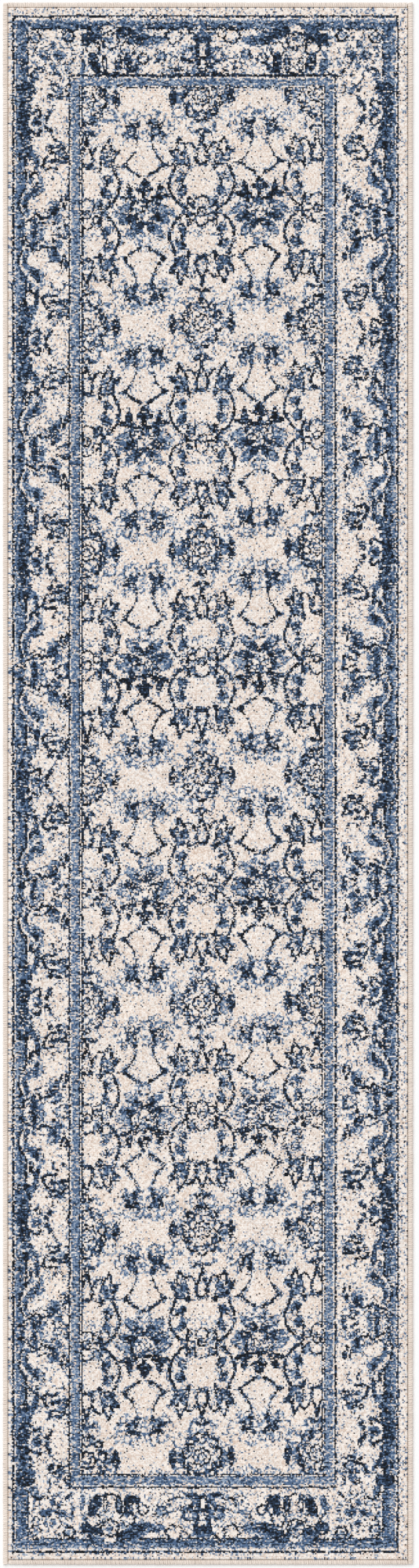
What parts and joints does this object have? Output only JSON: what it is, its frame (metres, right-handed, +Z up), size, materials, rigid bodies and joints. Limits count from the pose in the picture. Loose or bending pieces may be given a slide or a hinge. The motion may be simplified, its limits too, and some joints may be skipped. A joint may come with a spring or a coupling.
{
  "type": "runner rug",
  "caption": "Long narrow cut-pile runner rug with a woven ground, a latex-sized back and serged edges; lies flat on a floor.",
  "frame": {"origin": "centre of the underside, on the floor", "axes": "+Z up out of the pile, +Y along the length towards the head end, +X across the width to the right"},
  "size_m": [0.8, 3.05, 0.01],
  "materials": {
    "pile_yarn": "heat-set polypropylene cut pile, matte",
    "weft_yarn": "jute weft, dry and fibrous",
    "warp_yarn": "polyester and cotton warp, matte",
    "latex_sizing": "thin dried latex coat over the back of the weave",
    "filler_cord": "twisted polypropylene filler cord",
    "serging_yarn": "beige polyester overlock yarn, soft sheen",
    "lock_thread": "brown-grey sewing thread"
  },
  "bodies": {
    "root": {"pile": "pile_yarn", "upper_weft": "weft_yarn", "stuffer_warps": "warp_yarn", "lower_weft": "weft_yarn", "back_sizing": "latex_sizing", "left_edge_cord": "filler_cord", "right_edge_cord": "filler_cord", "head_edge_cord": "filler_cord", "foot_edge_cord": "filler_cord", "left_edge_serging": "serging_yarn", "right_edge_serging": "serging_yarn", "head_edge_serging": "serging_yarn", "foot_edge_serging": "serging_yarn", "left_lock_stitch": "lock_thread", "right_lock_stitch": "lock_thread", "head_lock_stitch": "lock_thread", "foot_lock_stitch": "lock_thread"}
  },
  "joints": []
}
